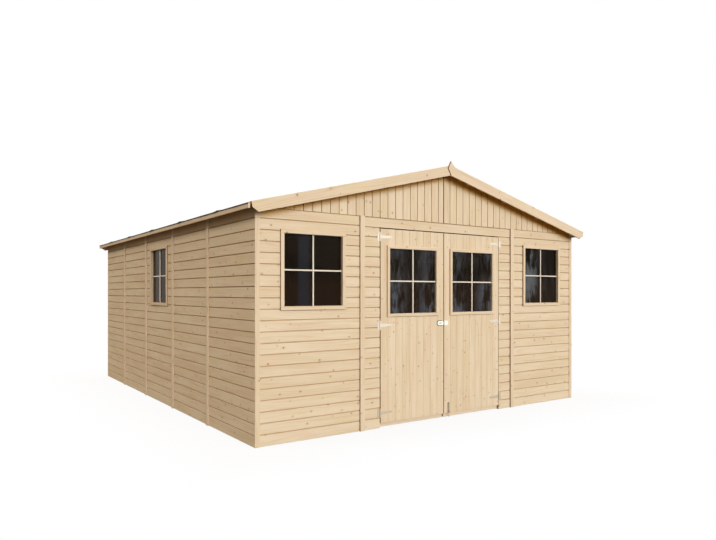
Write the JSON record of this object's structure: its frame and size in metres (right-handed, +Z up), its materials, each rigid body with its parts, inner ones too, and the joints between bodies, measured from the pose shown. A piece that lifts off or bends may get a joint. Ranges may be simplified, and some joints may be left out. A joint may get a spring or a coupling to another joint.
{
  "type": "wooden garden shed",
  "caption": "Gable-roofed garden shed of horizontal pine boards with glazed double doors on strap hinges, small-paned windows, cover battens and barge boards.",
  "frame": {"origin": "on the ground at the centre of the plan", "axes": "+Z up, the front with the doors faces -Y, the ridge runs along Y"},
  "size_m": [4.366, 5.414, 2.5761],
  "materials": {
    "boards": "planed raw pine with small knots",
    "trim": "planed raw pine",
    "framing": "sawn raw pine",
    "felt": "mineral bitumen roofing felt",
    "glass": "clear horticultural glass",
    "zinc": "bright zinc plate"
  },
  "bodies": {
    "building": {"left_wall_panels": "boards", "left_window_panel": "boards", "right_wall_panels": "boards", "right_window_panel": "boards", "back_wall_panels": "boards", "front_left_panel": "boards", "front_right_panel": "boards", "door_side_panels": "boards", "door_lintel_board": "boards", "front_gable": "boards", "back_gable": "boards", "left_cover_battens": "trim", "right_cover_battens": "trim", "front_cover_battens": "trim", "back_cover_battens": "trim", "corner_trims": "trim", "base_sills": "framing", "top_plates": "framing", "side_wall_studs": "framing", "end_wall_studs": "framing", "window_rails": "framing", "eave_plates": "framing", "purlins": "framing", "ridge_beam": "framing", "roof_deck_left": "framing", "roof_deck_right": "framing", "roof_felt_left": "felt", "roof_felt_right": "felt", "ridge_cap": "felt", "eave_strips": "trim", "front_barge_left": "trim", "front_barge_right": "trim", "back_barge_left": "trim", "back_barge_right": "trim", "front_left_window_frame": "trim", "front_right_window_frame": "trim", "left_window_frame": "trim", "right_window_frame": "trim", "wall_window_glass": "glass", "hinge_plates": "zinc"},
    "left_door": {"left_door_leaf": "boards", "left_door_ledges": "framing", "left_door_window_frame": "trim", "left_door_glass": "glass", "left_hinge_straps": "zinc", "hasp_flap": "zinc", "hasp_staple": "zinc"},
    "right_door": {"right_door_leaf": "boards", "right_door_ledges": "framing", "right_door_window_frame": "trim", "right_door_glass": "glass", "right_hinge_straps": "zinc", "hasp_plate": "zinc", "bolt_plate": "zinc"},
    "floor_bolt": {"bolt_rod": "zinc"}
  },
  "joints": [
    {"name": "left_door_hinge", "type": "hinge", "parent": "building", "child": "left_door", "pos_m": [-0.805, -2.601, 0.96], "axis": [0, 0, -1], "range_deg": [0, 160]},
    {"name": "right_door_hinge", "type": "hinge", "parent": "building", "child": "right_door", "pos_m": [0.805, -2.601, 0.96], "axis": [0, 0, 1], "range_deg": [0, 160]},
    {"name": "floor_bolt_slide", "type": "slide", "parent": "right_door", "child": "floor_bolt", "axis": [0, 0, 1], "range_m": [0, 0.04]}
  ]
}
